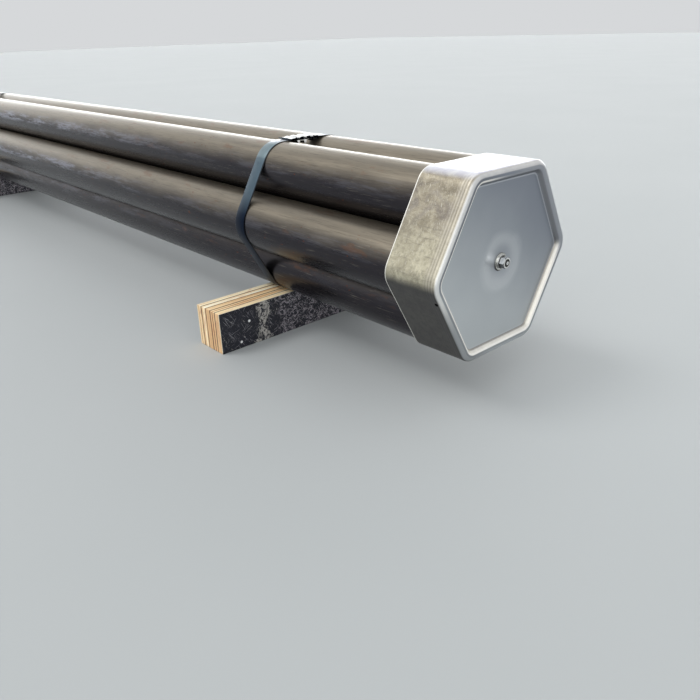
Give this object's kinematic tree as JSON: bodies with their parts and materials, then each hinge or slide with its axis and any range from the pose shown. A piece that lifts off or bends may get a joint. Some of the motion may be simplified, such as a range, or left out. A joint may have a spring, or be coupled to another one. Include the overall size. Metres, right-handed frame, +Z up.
{
  "type": "drill rod bundle",
  "caption": "Hexagonal bundle of tubular threaded drill rods with pressed steel end caps, a central tie rod, crimped steel straps and laminated timber bearers.",
  "frame": {"origin": "on the floor under the middle of the bundle", "axes": "+X along the rods towards their box ends, +Z up"},
  "size_m": [3.139, 0.532, 0.4104],
  "materials": {
    "oiled_steel": "dark mill finish under a film of oil, satin",
    "galvanised_sheet": "galvanised, satin, scuffed by the press tool on its sides",
    "zinc_plate": "zinc plated, semi-bright",
    "strap_steel": "blue-green waxed paint, satin",
    "seal_steel": "zinc plated, bright at the crimps",
    "laminated_timber": "sawn laminated veneer, with a dark scratched film on its outer plies"
  },
  "bodies": {
    "root": {"rod_centre": "oiled_steel", "rod_middle_right": "oiled_steel", "rod_top_right": "oiled_steel", "rod_top_left": "oiled_steel", "rod_middle_left": "oiled_steel", "rod_bottom_left": "oiled_steel", "rod_bottom_right": "oiled_steel", "cap_box_end": "galvanised_sheet", "cap_pin_end": "galvanised_sheet", "tie_rod": "zinc_plate", "plate_washer_box_end": "zinc_plate", "plate_washer_pin_end": "zinc_plate", "washer_box_end": "zinc_plate", "washer_pin_end": "zinc_plate", "nut_box_end": "zinc_plate", "nut_pin_end": "zinc_plate", "strap_box_end": "strap_steel", "strap_pin_end": "strap_steel", "seal_box_end": "seal_steel", "seal_pin_end": "seal_steel", "bearer_box_end": "laminated_timber", "bearer_pin_end": "laminated_timber"}
  },
  "joints": []
}
